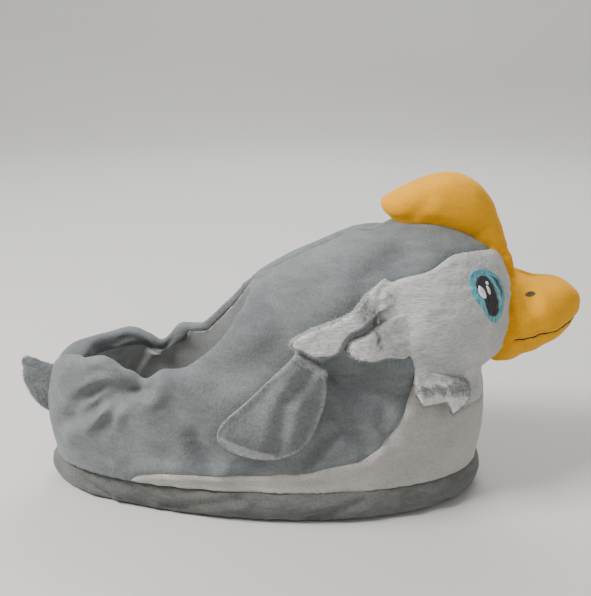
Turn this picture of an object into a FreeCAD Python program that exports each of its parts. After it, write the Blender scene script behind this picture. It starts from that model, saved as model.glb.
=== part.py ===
import FreeCAD, Part
import math
import os

# A bird-shaped plush slipper. +X points to the beak, +Y to the bird's left, +Z up.
# The origin is on the floor, under the middle of the outsole. Millimetres throughout.

V = FreeCAD.Vector

# ---- driving dimensions ----
SOLE_LENGTH = 284.0
SOLE_WIDTH = 125.0
SKIN = 3.0                 # plush fabric with its nap
LINING = 2.5
GAP = 0.5                  # clearance beside pieces that swing
EASE = 0.1                 # between the stuffing and the cloth round it

# heights of the layers under the foot
DOT_RISE = 0.8
OUTSOLE_TOP = 2.4
MIDSOLE_TOP = 18.5
BOARD_TOP = 20.0
INSOLE_FOAM_TOP = 26.0
INSOLE_TOP = 29.0
BAND_BOTTOM = 1.6
COLLAR_BOTTOM = 84.0
COLLAR_TOP = 90.0

# head: an ellipsoid over the toe
HEAD_CENTRE = V(97.0, 0.0, 120.0)
HEAD_RADII = (54.0, 52.0, 58.0)
SEAM_TURN = math.radians(200)   # keeps the ball's seam out of the mirror plane

OVAL_POINTS = 28
FAR = 400.0                # larger than the whole slipper

PARTS = {}


def keep(name, shape):
    """Files a finished piece under the name of its node."""
    PARTS[name] = shape


def mirrored(shape):
    """The same piece on the bird's left side."""
    return shape.mirror(V(0, 0, 0), V(0, 1, 0))


def keep_pair(name, right):
    """Files a right-hand piece and its mirror image."""
    keep(name + "_right", right)
    keep(name + "_left", mirrored(right))


# ---- outline helpers ----
def signed_power(value, power):
    return math.copysign(abs(value) ** power, value)


def closed_spline(points):
    curve = Part.BSplineCurve()
    curve.interpolate(points, PeriodicFlag=True)
    return Part.Wire([curve.toShape()])


def super_ellipse(a, b, power):
    """Points round a rounded oval. The first is off the axis, so no seam lies in the mirror plane."""
    points = []
    for i in range(OVAL_POINTS):
        angle = 2 * math.pi * (i + 0.5) / OVAL_POINTS
        points.append((a * signed_power(math.cos(angle), 2 / power),
                       b * signed_power(math.sin(angle), 2 / power)))
    return points


def flat_oval(z, rear, front, half_width, power=2.5, heel_taper=0.12):
    """A foot-shaped outline at height z, narrower at the heel. half_width is at its widest."""
    middle = (rear + front) / 2
    half_length = (front - rear) / 2
    points = []
    for x, y in super_ellipse(half_length, 1.0, power):
        points.append((middle + x, y * (1 + heel_taper * (x / half_length - 1) / 2)))
    spread = half_width / max(y for x, y in points)
    return closed_spline([V(x, y * spread, z) for x, y in points])


def upright_oval(x, low, high, half_width, power=2.3):
    """An oval section across the slipper at x."""
    middle = (low + high) / 2
    return closed_spline([V(x, y, middle + z) for z, y in super_ellipse((high - low) / 2, half_width, power)])


def path_oval(centre, along, half_height, half_width, power=2.0):
    """An oval across a path in the mirror plane that runs along the given direction."""
    along = V(*along).normalize()
    side = V(0, 1, 0)
    up = along.cross(side)
    return closed_spline([V(*centre) + up * u + side * v for u, v in super_ellipse(half_height, half_width, power)])


def loft(wires):
    return Part.makeLoft(wires, True, False)


def slab(low, high):
    """Everything between two heights."""
    return Part.makeBox(2 * FAR, 2 * FAR, high - low, V(-FAR, -FAR, low))


def behind(x):
    return Part.makeBox(FAR, 2 * FAR, 2 * FAR, V(x - FAR, -FAR, -FAR))


def right_half():
    return Part.makeBox(2 * FAR, FAR, 2 * FAR, V(-FAR, -FAR, -FAR))


def side_prism(points):
    """A region drawn in side view as (x, z) corners, carried across the whole width."""
    corners = [V(x, -FAR, z) for x, z in points]
    return Part.Face(Part.makePolygon(corners + corners[:1])).extrude(V(0, 2 * FAR, 0))


def smooth_side_prism(curve_points, closing_points):
    """As side_prism, with the first stretch a smooth curve through its points."""
    curve = Part.BSplineCurve()
    curve.interpolate([V(x, -FAR, z) for x, z in curve_points])
    ends = [curve_points[-1]] + closing_points + [curve_points[0]]
    rest = [Part.makeLine(V(a[0], -FAR, a[1]), V(b[0], -FAR, b[1])) for a, b in zip(ends, ends[1:])]
    return Part.Face(Part.Wire([curve.toShape()] + rest)).extrude(V(0, 2 * FAR, 0))


def ellipsoid(inset=0.0):
    """The head's ball, shrunk by inset on every side."""
    matrix = FreeCAD.Matrix()
    matrix.rotateZ(SEAM_TURN)
    matrix.scale(*(radius - inset for radius in HEAD_RADII))
    matrix.move(HEAD_CENTRE)
    return Part.makeSphere(1.0).transformGeometry(matrix)


# ---- the outer form ----
HALF_SOLE = SOLE_LENGTH / 2
BOAT_SECTIONS = (          # height, rear x, front x, half width
    (BOARD_TOP, -137.5, 138.5, 60.0),
    (38.0, -140.5, 142.0, 62.0),
    (56.0, -141.0, 143.0, 61.0),
    (74.0, -137.5, 141.0, 58.5),
    (COLLAR_TOP, -130.0, 136.0, 54.0),
)
BOAT_POWER = 2.2
BOAT_TAPER = 0.2
NECK_SECTIONS = (
    (66.0, -84.0, 134.0, 55.0),
    (88.0, -74.0, 138.0, 55.0),
    (110.0, -48.0, 138.0, 53.0),
    (130.0, -20.0, 134.0, 49.0),
    (150.0, 14.0, 126.0, 41.0),
    (168.0, 50.0, 116.0, 25.0),
)
NECK_TOP_SECTION = 160.0   # sections above this come down with the inset
OPENING_SECTIONS = (
    (BOARD_TOP, -116.0, 30.0, 37.5),
    (60.0, -117.0, 22.0, 39.0),
    (COLLAR_TOP, -114.0, 12.0, 38.0),
    (112.0, -118.0, 4.0, 38.5),
    (150.0, -124.0, -14.0, 40.0),
)
TOE_SECTIONS = (           # x, top height, half width
    (-30.0, 84.0, 38.0),
    (0.0, 80.0, 39.0),
    (35.0, 72.0, 40.0),
    (70.0, 60.0, 38.0),
    (96.0, 50.0, 30.0),
    (108.0, 42.0, 19.0),
)
TOE_SECTION_LOW = 0.0
TOE_TIP_SECTION = 100.0    # sections beyond this move forward as the hollow grows


def outer_form(inset=0.0):
    """The stuffed outside: boat, neck and head in one solid, shrunk by inset."""
    boat = loft([flat_oval(z, rear + inset, front - inset, half - inset, BOAT_POWER, BOAT_TAPER)
                 for z, rear, front, half in BOAT_SECTIONS])
    neck = loft([flat_oval(z - inset * (z > NECK_TOP_SECTION), rear + inset, front - inset, half - inset,
                           heel_taper=0.0) for z, rear, front, half in NECK_SECTIONS])
    return boat.fuse([neck, ellipsoid(inset)])


def foot_space(grow=0.0):
    """The hollow that the foot goes into, with its way out at the top, widened by grow."""
    opening = loft([flat_oval(z, rear - grow, front + grow, half + grow)
                    for z, rear, front, half in OPENING_SECTIONS])
    toe = loft([upright_oval(x + (grow if x > TOE_TIP_SECTION else 0), TOE_SECTION_LOW, top + grow, half + grow)
                for x, top, half in TOE_SECTIONS])
    return opening.fuse(toe.common(slab(BOARD_TOP, FAR)))


# ---- the sole ----
SOLE_POWER = 2.0
SOLE_TAPER = 0.33


def sole_outline(z, inset):
    return flat_oval(z, -HALF_SOLE + inset, HALF_SOLE - inset, SOLE_WIDTH / 2 - inset, SOLE_POWER, SOLE_TAPER)


DOT_RADIUS = 2.2
DOT_PITCH = 12.0
DOT_MARGIN = 13.0
DOT_SUNK = 0.4             # how far each dot reaches into the outsole
OUTSOLE_EDGE = (6.0, 5.0)  # inset from the sole's outline, below and above
BAND_EASE = 0.1            # between the outsole's edge and the band
CORE_INSETS = ((BAND_BOTTOM, 5.0), (6.0, 1.6), (11.0, 0.2), (16.0, 1.2), (BOARD_TOP, 4.0))   # height, inset


def dot_centres():
    """A staggered grid of grip dots inside the outsole's edge."""
    edge = Part.Face(sole_outline(0.0, DOT_MARGIN))
    rows = int(HALF_SOLE / DOT_PITCH)
    columns = int(SOLE_WIDTH / 2 / DOT_PITCH)
    centres = []
    for row in range(-rows, rows + 1):
        shift = DOT_PITCH / 2 if row % 2 else 0.0
        for column in range(-columns, columns + 1):
            centre = V(row * DOT_PITCH, column * DOT_PITCH + shift, 0.0)
            if edge.isInside(centre, 0.01, True):
                centres.append(centre)
    return centres


def outsole_form(ease=0.0):
    below, above = OUTSOLE_EDGE
    return loft([sole_outline(DOT_RISE, below - ease), sole_outline(OUTSOLE_TOP, above - ease)])


def sole_core(inset=0.0):
    """The padded part of the sole, from the floor's side to the insole board."""
    return loft([sole_outline(z, edge + inset) for z, edge in CORE_INSETS])


def make_sole():
    dots = [Part.makeCylinder(DOT_RADIUS, DOT_RISE + DOT_SUNK, centre) for centre in dot_centres()]
    keep("outsole", outsole_form().fuse(dots))
    filling = sole_core(SKIN)
    seat = slab(0, OUTSOLE_TOP).common(outsole_form(BAND_EASE))
    keep("sole_band", sole_core().cut(filling).cut(seat))
    keep("midsole_foam", filling.common(slab(OUTSOLE_TOP, MIDSOLE_TOP)))
    keep("insole_board", filling.common(slab(MIDSOLE_TOP, BOARD_TOP)))


def make_insole(foot):
    keep("insole_foam", foot.common(slab(BOARD_TOP, INSOLE_FOAM_TOP)))
    keep("insole_cover", foot.common(slab(INSOLE_FOAM_TOP, INSOLE_TOP)))


# ---- the upper ----
BELLY_EDGE = ((-84, 14), (-76, 26), (-49, 31), (-10, 32), (22, 34.5), (38, 38), (58, 42.5), (72, 53), (80, 63.5),
              (85, 74), (88, 86), (90, 104))
BELLY_CLOSING = [(175, 104), (175, 0), (-84, 0)]
FACE_EDGE = ((116, 66), (92, 92), (86, 105), (76, 110), (68, 119), (66, 132), (69, 145), (80, 150), (95, 154),
             (112, 162), (138, 160))
FACE_CLOSING = [(175, 160), (175, 66)]
CHEST_REAR = 62.0
HEEL_SEAM = [(-69, 100), (-69, 90), (-133, 42), (-160, 42), (-160, 100)]
CROWN_EDGE = [(20, 200), (44, 152), (86, 146), (150, 146), (170, 200)]
COLLAR_FRONT = -58.0
LINING_SPLIT = -40.0       # the heel's lining ends here and the vamp's begins
HEEL_PADDING_FRONT = -88.0
WALL_PADDING_FRONT = 30.0
HEAD_ZONE = [(28, FAR), (28, 96), (175, 88), (175, FAR)]
ELASTIC_REAR = -123.0
ELASTIC_FRONT = 120.0
ELASTIC_HALF_WIDTH = 44.5
ELASTIC_THICK = 1.2
ELASTIC_END = -60.0


def make_elastic():
    """The elastic band that runs inside the collar's binding round the heel."""
    heights = (COLLAR_BOTTOM + ELASTIC_THICK, COLLAR_TOP - ELASTIC_THICK)
    outside = loft([flat_oval(z, ELASTIC_REAR, ELASTIC_FRONT, ELASTIC_HALF_WIDTH) for z in heights])
    inside = loft([flat_oval(z, ELASTIC_REAR + ELASTIC_THICK, ELASTIC_FRONT - ELASTIC_THICK,
                             ELASTIC_HALF_WIDTH - ELASTIC_THICK) for z in (COLLAR_BOTTOM, COLLAR_TOP)])
    return outside.cut(inside).common(behind(ELASTIC_END))


def make_padding(filling):
    """Divides the stuffing between skin and lining into head, heel, walls and toe."""
    head_zone = side_prism(HEAD_ZONE)
    keep("head_stuffing", filling.common(head_zone))
    filling = filling.cut(head_zone)
    keep("heel_padding", filling.common(behind(HEEL_PADDING_FRONT)))
    filling = filling.cut(behind(HEEL_PADDING_FRONT))
    keep_pair("wall_padding", filling.common(behind(WALL_PADDING_FRONT)).common(right_half()))
    keep("toe_padding", filling.cut(behind(WALL_PADDING_FRONT)))


def make_upper():
    outer = outer_form()
    inner = outer_form(SKIN)
    foot = foot_space()
    around_foot = foot_space(LINING)
    collar_zone = slab(COLLAR_BOTTOM, COLLAR_TOP + 1).common(behind(COLLAR_FRONT))
    collar_ring = outer.cut(foot).common(collar_zone)
    elastic = make_elastic()
    keep("collar_elastic", elastic)
    keep("collar_binding", collar_ring.cut(elastic))

    both_sides = outer.cut([inner, around_foot, collar_zone])
    skin = both_sides.common(right_half())
    face = smooth_side_prism(FACE_EDGE, FACE_CLOSING)
    belly = smooth_side_prism(BELLY_EDGE, BELLY_CLOSING)
    crown = side_prism(CROWN_EDGE)
    keep_pair("face_panel", skin.common(face))
    skin = skin.cut(face)
    heel = side_prism(HEEL_SEAM)
    keep_pair("crown_panel", skin.common(crown))
    skin = skin.cut(crown)
    keep_pair("belly_strip", skin.common(belly).common(behind(CHEST_REAR)))
    keep("chest_panel", both_sides.common(belly).cut([face, crown, behind(CHEST_REAR)]))
    keep("heel_panel", both_sides.common(heel).cut(belly))
    keep_pair("side_panel", skin.cut([belly, heel]))

    lining = around_foot.cut([foot, collar_zone]).common(inner).common(slab(BOARD_TOP, FAR))
    keep("heel_lining", lining.common(behind(LINING_SPLIT)))
    keep("vamp_lining", lining.cut(behind(LINING_SPLIT)))
    make_padding(outer_form(SKIN + EASE).cut([around_foot, collar_zone]))
    make_insole(foot)
    return outer


# ---- beak and crest ----
BEAK_SECTIONS = (          # x, lowest, highest, half width
    (138.0, 84.0, 146.0, 26.0),
    (154.0, 84.5, 144.5, 28.5),
    (168.0, 89.5, 142.0, 27.0),
    (181.0, 99.0, 138.0, 21.5),
    (190.0, 108.0, 133.0, 14.0),
    (195.5, 116.0, 127.5, 6.0),
)
BEAK_TIP_SECTION = 190.0   # sections beyond this draw back with the inset
BEAK_LEAST_HALF = 2.0
MOUTH = ((130, 104), (152, 106), (170, 109.5), (185, 112), (200, 116))
MOUTH_CLOSING = [(200, 50), (130, 50)]
CREST_SECTIONS = (         # centre x, centre z, direction x, direction z, half height, half width
    (150.0, 131.0, -0.05, 1.0, 6.0, 10.0),
    (148.5, 143.0, -0.25, 1.0, 6.5, 9.5),
    (139.5, 157.0, -0.35, 1.0, 8.5, 10.5),
    (129.5, 172.5, -0.7, 1.0, 13.0, 14.0),
    (118.5, 183.0, -1.0, 0.25, 17.5, 18.0),
    (103.0, 186.0, -1.0, -0.02, 15.0, 18.5),
    (87.0, 184.0, -1.0, -0.1, 10.7, 16.0),
    (76.0, 183.0, -1.0, -0.1, 6.5, 11.0),
    (71.0, 183.5, -1.0, -0.1, 2.5, 4.0),
)
CREST_POWER = 2.4


def beak_form(inset=0.0):
    return loft([upright_oval(x - (inset if x > BEAK_TIP_SECTION else 0), low + inset, high - inset,
                              max(half - inset, BEAK_LEAST_HALF)) for x, low, high, half in BEAK_SECTIONS])


def crest_form(inset=0.0):
    sections = CREST_SECTIONS if inset == 0 else CREST_SECTIONS[:-1]
    return loft([path_oval((x, 0, z), (dx, 0, dz), height - inset, half - inset, CREST_POWER)
                 for x, z, dx, dz, height, half in sections])


def make_beak_and_crest(outer):
    beak = beak_form().cut(outer)
    skin = beak.cut(beak_form(SKIN))
    keep("beak_stuffing", beak_form(SKIN + EASE).cut(outer))
    below_mouth = smooth_side_prism(MOUTH, MOUTH_CLOSING)
    keep("lower_beak", skin.common(below_mouth))
    keep("upper_beak", skin.cut(below_mouth))
    taken = [outer, beak_form()]
    keep("crest_stuffing", crest_form(SKIN + EASE).cut(taken))
    keep_pair("crest_panel", crest_form().cut(taken).cut(crest_form(SKIN)).common(right_half()))
    make_beak_details()


NOSTRIL = (161.0, 134.0)
NOSTRIL_HALF = (3.3, 1.7)
STITCH = 0.9               # height of the thread, and half the width of the mouth's line
STITCH_EASE = 1.0          # between the thread and the face
MOUTH_START = 153.0


def make_beak_details():
    """Embroidery on the beak: raised thread over the fabric."""
    raised = beak_form(-STITCH).cut([beak_form(), ellipsoid(-STITCH_EASE)])
    ring = closed_spline([V(NOSTRIL[0] + u, -FAR, NOSTRIL[1] + v) for u, v in super_ellipse(*NOSTRIL_HALF, 2.0)])
    keep_pair("nostril", raised.common(Part.Face(ring).extrude(V(0, FAR, 0))))
    lower = smooth_side_prism([(x, z + STITCH) for x, z in MOUTH], MOUTH_CLOSING)
    upper = smooth_side_prism([(x, z - STITCH) for x, z in MOUTH], MOUTH_CLOSING)
    keep("mouth_stitching", raised.common(lower.cut(upper)).cut(behind(MOUTH_START)))


# ---- eyes ----
EYE_AZIMUTH = math.radians(49)
EYE_HEIGHT = math.radians(19)
EYE_THICK = 1.4
EYE_REACH = 8.0            # how far the eye's outline is carried in and out of the head
EYE_POWER = 2.1
EYE_HALF = (9.5, 15.5)
PUPIL_HALF = (5.6, 11.5)
PUPIL_OFFSET = (0.4, -0.5)
LIGHTS = (((-2.2, 3.2), (1.5, 3.6)), ((1.9, 4.6), (1.1, 2.4)))


def make_eyes():
    a, b, c = HEAD_RADII
    level = math.cos(EYE_HEIGHT)
    local = V(a * math.cos(EYE_AZIMUTH) * level, -b * math.sin(EYE_AZIMUTH) * level, c * math.sin(EYE_HEIGHT))
    outward = V(local.x / a ** 2, local.y / b ** 2, local.z / c ** 2).normalize()
    across = outward.cross(V(0, 0, 1)).normalize() * -1
    upward = outward.cross(across)
    if upward.z < 0:
        upward = upward * -1
    place = HEAD_CENTRE + local
    shell = ellipsoid(-EYE_THICK).cut(ellipsoid())

    def plug(half, offset=(0, 0)):
        centre = place + across * offset[0] + upward * offset[1] - outward * EYE_REACH
        ring = closed_spline([centre + across * u + upward * v for u, v in super_ellipse(*half, EYE_POWER)])
        return Part.Face(ring).extrude(outward * 2 * EYE_REACH)

    pupil = plug(PUPIL_HALF, PUPIL_OFFSET)
    lights = [plug(half, offset) for offset, half in LIGHTS]
    keep_pair("eye_iris", shell.common(plug(EYE_HALF)).cut(pupil))
    keep_pair("eye_pupil", shell.common(pupil).cut(lights))
    keep_pair("eye_glints", Part.Compound([shell.common(light) for light in lights]))


# ---- tail ----
TAIL_HINGE_X = -141.5
TAIL_SWING = 20.0
TAIL_SPARE = 4.0           # degrees of room beyond the swing
TAIL_SKIN = 2.2
TAIL_SECTIONS = (          # centre x, centre z, direction x, direction z, half height, half width
    (-128.0, 60.0, -1.0, 0.30, 19.0, 7.5),
    (-139.0, 65.0, -1.0, 0.55, 16.5, 7.0),
    (-147.0, 73.0, -1.0, 1.0, 9.5, 5.5),
    (-152.0, 80.0, -0.8, 1.0, 5.0, 3.5),
    (-154.5, 84.0, -0.6, 1.0, 2.0, 1.5),
)


def tail_form(inset=0.0):
    sections = TAIL_SECTIONS if inset == 0 else TAIL_SECTIONS[:-1]
    return loft([path_oval((x, 0, z), (dx, 0, dz), height - inset, half - inset)
                 for x, z, dx, dz, height, half in sections])


def make_tail():
    lean = FAR * math.tan(math.radians(TAIL_SWING + TAIL_SPARE))
    root_x = TAIL_HINGE_X - GAP
    corners = [V(root_x, 0, 0), V(root_x - lean, FAR, 0), V(FAR, FAR, 0), V(FAR, -FAR, 0), V(root_x - lean, -FAR, 0)]
    wedge = Part.Face(Part.makePolygon(corners + corners[:1])).extrude(V(0, 0, FAR))
    filling = tail_form(TAIL_SKIN).cut(wedge)
    keep("tail_stuffing", filling)
    keep("tail_skin", tail_form().cut(wedge).cut(filling))


# ---- wings ----
WING_ROOT = V(27.4, -62.5, 103.6)
WING_DOWN = V(-0.56, 0, -0.83).normalize()
WING_ALONG = V(0.83, 0, -0.56).normalize()
WING_THICK = 6.0
WING_LAYER = 2.0
WING_ROOT_HALF = 11.5
WING_EDGE = ((36.5, 84), (32.5, 70), (26, 57), (16, 49.5), (4, 47), (-10, 49), (-21, 54.5), (-25.5, 62), (-23, 69),
             (-12, 80), (2, 94))
WING_MIDDLE = (8.0, 74.0)
BATTING_SIZE = 0.86        # of the wing's outline, the rest is its hem


def wing_face(size, depth):
    """The wing's outline, scaled about its middle and set out from the body by depth."""
    ends = [WING_ROOT + WING_ALONG * WING_ROOT_HALF, WING_ROOT - WING_ALONG * WING_ROOT_HALF]
    outline = [(ends[0].x, ends[0].z)] + list(WING_EDGE) + [(ends[1].x, ends[1].z)]
    points = [V(WING_MIDDLE[0] + (x - WING_MIDDLE[0]) * size, WING_ROOT.y - depth,
                WING_MIDDLE[1] + (z - WING_MIDDLE[1]) * size) for x, z in outline]
    edge = Part.BSplineCurve()
    edge.interpolate(points)
    return Part.Face(Part.Wire([edge.toShape(), Part.makeLine(points[-1], points[0])]))


def make_wing():
    outward = V(0, -1, 0)
    batting = wing_face(BATTING_SIZE, WING_LAYER).extrude(outward * WING_LAYER)
    inner = wing_face(1.0, 0.0).extrude(outward * WING_LAYER)
    outer = wing_face(1.0, WING_LAYER).extrude(outward * (WING_THICK - WING_LAYER)).cut(batting)
    keep_pair("wing_lining", inner)
    keep_pair("wing_batting", batting)
    keep_pair("wing_cover", outer)


TAB_THICK = 3.0
TAB_OUT = 2.0              # how far the tab stands out past the wing's root
TAB_DEPTH = 20.0           # from there into the body


def make_wing_tab(outer):
    """The strip that the wing's root is sewn to."""
    corner = WING_ROOT - WING_DOWN * GAP - V(0, TAB_OUT, 0)
    half = WING_ALONG * WING_ROOT_HALF
    rise = WING_DOWN * -TAB_THICK
    corners = [corner - half, corner + half, corner + half + rise, corner - half + rise, corner - half]
    keep_pair("wing_tab", Part.Face(Part.makePolygon(corners)).extrude(V(0, TAB_DEPTH, 0)).cut(outer))


# ---- feather tufts on the cheek ----
TUFT_THICK = 4.0
TUFT_LEAN = math.radians(5.0)
TUFT_PIVOT = V(94.0, -54.5, 0.0)
UPPER_TUFT = ((88, 139), (86, 157), (66, 146), (44, 132), (22, 123), (17, 118.5), (22, 114.5), (34, 110),
              (42, 112.5), (46, 119), (54, 126), (64, 130.5), (76, 135))
LOWER_TUFT = ((89, 111), (89, 130), (80, 130), (66, 125), (56, 121), (50, 118), (49, 113.5), (56, 107.5), (76, 105.5))


def tuft_plate(points):
    """A flat lobe that leans out from the cheek towards its tip. Points are (x, z)."""
    direction = V(-math.cos(TUFT_LEAN), -math.sin(TUFT_LEAN), 0)
    corners = [TUFT_PIVOT + direction * (TUFT_PIVOT.x - x) + V(0, 0, z) for x, z in points]
    outward = V(math.sin(TUFT_LEAN), -math.cos(TUFT_LEAN), 0)
    return Part.Face(closed_spline(corners)).extrude(outward * TUFT_THICK)


CHIN_ROOT_A = V(88.0, -57.0, 98.5)
CHIN_ROOT_B = V(122.0, -44.0, 84.0)
CHIN_DROP = 19.0
CHIN_OUTLINE = ((0.0, 0.0), (0.5, 0.0), (1.0, 0.0), (1.0, 0.55), (0.86, 0.95), (0.68, 0.6), (0.5, 0.75),
                (0.3, 0.95), (0.12, 0.6))      # shares of its length and of its drop


def make_chin_tuft():
    along = CHIN_ROOT_B - CHIN_ROOT_A
    length = along.Length
    along = along.normalize()
    outward = V(along.y, -along.x, 0).normalize()
    down = along.cross(outward)
    if down.z > 0:
        down = down * -1
    corners = [CHIN_ROOT_A + along * (length * u) + down * (CHIN_DROP * v) for u, v in CHIN_OUTLINE]
    keep_pair("chin_tuft", Part.Face(Part.makePolygon(corners + corners[:1])).extrude(outward * TUFT_THICK))


def make_tufts():
    keep_pair("upper_tuft", tuft_plate(UPPER_TUFT))
    keep_pair("lower_tuft", tuft_plate(LOWER_TUFT))
    make_chin_tuft()


def main():
    make_sole()
    outer = make_upper()
    make_beak_and_crest(outer)
    make_eyes()
    make_tail()
    make_wing()
    make_wing_tab(outer)
    make_tufts()
    os.makedirs("parts", exist_ok=True)
    for old in os.listdir("parts"):
        os.remove(os.path.join("parts", old))
    for name, shape in sorted(PARTS.items()):
        print(f"{name:18s} solids {len(shape.Solids)} valid {shape.isValid()} volume {shape.Volume / 1000:8.2f} cm3")
        shape.exportStep(f"parts/{name}.step")


main()
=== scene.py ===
import math

import bmesh
import bpy
import numpy as np
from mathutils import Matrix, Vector
from mathutils.bvhtree import BVHTree


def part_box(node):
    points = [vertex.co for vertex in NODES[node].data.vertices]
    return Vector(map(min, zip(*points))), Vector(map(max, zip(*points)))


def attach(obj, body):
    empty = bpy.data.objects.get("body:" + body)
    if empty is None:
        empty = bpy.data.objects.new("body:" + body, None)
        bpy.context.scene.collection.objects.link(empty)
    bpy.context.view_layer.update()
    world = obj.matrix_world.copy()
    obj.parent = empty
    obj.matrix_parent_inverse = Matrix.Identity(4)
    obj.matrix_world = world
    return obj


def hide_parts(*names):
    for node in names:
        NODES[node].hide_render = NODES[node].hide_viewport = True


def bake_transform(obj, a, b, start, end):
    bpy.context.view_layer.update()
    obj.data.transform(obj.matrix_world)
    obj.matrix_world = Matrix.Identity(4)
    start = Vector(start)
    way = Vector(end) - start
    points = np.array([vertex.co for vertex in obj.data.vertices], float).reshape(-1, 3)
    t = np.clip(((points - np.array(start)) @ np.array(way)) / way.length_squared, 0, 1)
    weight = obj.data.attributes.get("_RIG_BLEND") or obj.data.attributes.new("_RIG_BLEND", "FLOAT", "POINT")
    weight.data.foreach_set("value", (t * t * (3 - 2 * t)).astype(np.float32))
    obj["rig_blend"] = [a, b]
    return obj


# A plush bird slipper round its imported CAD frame.
# +X points to the beak, +Y to the bird's left, +Z up, in metres.
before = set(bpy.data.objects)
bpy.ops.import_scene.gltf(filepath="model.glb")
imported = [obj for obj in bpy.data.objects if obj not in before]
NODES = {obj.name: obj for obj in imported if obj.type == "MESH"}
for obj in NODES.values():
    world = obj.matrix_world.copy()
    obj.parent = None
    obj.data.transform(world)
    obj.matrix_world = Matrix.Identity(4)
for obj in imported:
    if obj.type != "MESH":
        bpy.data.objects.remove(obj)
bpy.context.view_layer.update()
MM = 0.001


def pieces_of(*starts):
    """The CAD nodes whose names begin with one of these words."""
    return sorted(name for name in NODES if name.startswith(starts))


# ---- seams, in side view: (x, z) in millimetres ----
BELLY_SEAM = ((-84, 14), (-76, 26), (-49, 31), (-10, 32), (22, 34.5), (38, 38), (58, 42.5),
              (72, 53), (80, 63.5), (85, 74), (88, 86), (90, 104))
BELLY_REST = ((175, 104), (175, 0), (-84, 0))
FACE_SEAM = ((116, 66), (92, 92), (86, 105), (76, 110), (68, 119), (66, 132), (69, 145), (80, 150), (95, 154),
             (112, 162), (138, 160))
FACE_REST = ((175, 161), (175, 66))
HEEL_SEAM = ((-69, 92), (-88, 74), (-112, 57), (-133, 46), (-160, 42))
HEEL_REST = ((-160, 130), (-69, 130))
HEEL_NOTCH = (-73.0, 86.0)      # where the heel's rim meets the side wall


# ---- numpy helpers ----
def smoothstep(low, high, value):
    t = np.clip((value - low) / (high - low), 0, 1)
    return t * t * (3 - 2 * t)


def rounded(points, closed=False, steps=8):
    """Points on a smooth Catmull-Rom curve through the given ones."""
    p = np.array(points, float)
    count = len(p)
    spans = count if closed else count - 1
    out = []
    for i in range(spans):
        if closed:
            a, b, c, d = (p[(i + k) % count] for k in (-1, 0, 1, 2))
        else:
            a, b, c, d = (p[min(max(i + k, 0), count - 1)] for k in (-1, 0, 1, 2))
        for step in range(steps):
            t = step / steps
            out.append(0.5 * (2 * b + (c - a) * t + (2 * a - 5 * b + 4 * c - d) * t ** 2
                              + (3 * b - a - 3 * c + d) * t ** 3))
    if not closed:
        out.append(p[-1])
    return np.array(out)


def distance_to_line(points, line, closed=False):
    """Distance from each 2-D point to a polyline."""
    best = np.full(len(points), 1e9)
    ends = np.roll(line, -1, axis=0) if closed else line[1:]
    for a, b in zip(line if closed else line[:-1], ends):
        span = b - a
        t = np.clip(((points - a) @ span) / max(span @ span, 1e-12), 0, 1)
        best = np.minimum(best, np.linalg.norm(points - a - t[:, None] * span, axis=1))
    return best


def inside_outline(points, outline):
    """True for each 2-D point inside a closed outline."""
    inside = np.zeros(len(points), bool)
    x, y = points[:, 0], points[:, 1]
    for a, b in zip(outline, np.roll(outline, -1, axis=0)):
        crosses = (a[1] > y) != (b[1] > y)
        rise = b[1] - a[1] if abs(b[1] - a[1]) > 1e-12 else 1e-12
        inside ^= crosses & (x < (b[0] - a[0]) * (y - a[1]) / rise + a[0])
    return inside


def seam_field(co, seam, rest):
    """Signed distance in metres from a seam drawn in side view: positive on the panel's own side."""
    line = rounded(seam) * MM
    flat = co[:, [0, 2]]
    inside = inside_outline(flat, np.vstack([line, np.array(rest, float) * MM]))
    return distance_to_line(flat, line) * np.where(inside, 1, -1)


def lattice(cell):
    """A number from -1 to 1 for each lattice corner, always the same."""
    n = cell[:, 0] * 374761393 + cell[:, 1] * 668265263 + cell[:, 2] * 1442695041
    n = (n ^ (n >> 13)) & 0x7FFFFFFF
    n = (n * 1274126177) & 0x7FFFFFFF
    return ((n ^ (n >> 16)) & 0xFFFF) / 32767.5 - 1


def lumps(co, size, seed=0):
    """Smooth noise from -1 to 1 with lumps about size across. Size may differ along X, Y and Z."""
    p = co / np.array(size, float) + 31.7 * (seed + 1)
    cell = np.floor(p).astype(np.int64)
    f = p - cell
    f = f * f * (3 - 2 * f)
    total = np.zeros(len(co))
    for corner in np.ndindex(2, 2, 2):
        weight = np.prod(np.where(np.array(corner) == 1, f, 1 - f), axis=1)
        total += weight * lattice(cell + np.array(corner))
    return total


# ---- mesh helpers ----
def link(name, mesh):
    obj = bpy.data.objects.new(name, mesh)
    bpy.context.scene.collection.objects.link(obj)
    return obj


def mesh_from(name, verts, faces):
    mesh = bpy.data.meshes.new(name)
    mesh.from_pydata([tuple(v) for v in verts], [], [tuple(f) for f in faces])
    mesh.update()
    return mesh


def read(items, field, width=1, kind=np.float32):
    """One field of every item in a Blender collection, as an array with width numbers per item."""
    out = np.empty(len(items) * width, kind)
    items.foreach_get(field, out)
    return out.reshape(-1, width) if width > 1 else out


def coords(obj):
    return read(obj.data.vertices, "co", 3).astype(float)


def set_coords(obj, co):
    obj.data.vertices.foreach_set("co", co.astype(np.float32).ravel())
    obj.data.update()


def normals(obj):
    return read(obj.data.vertex_normals, "vector", 3).astype(float)


def edges(obj):
    return read(obj.data.edges, "vertices", 2, np.int32)


def bake_modifiers(obj):
    """Gives obj the mesh that its modifiers make, and removes them."""
    evaluated = obj.evaluated_get(bpy.context.evaluated_depsgraph_get())
    mesh = bpy.data.meshes.new_from_object(evaluated)
    old = obj.data
    obj.modifiers.clear()
    obj.data = mesh
    bpy.data.meshes.remove(old)
    return obj


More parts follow.
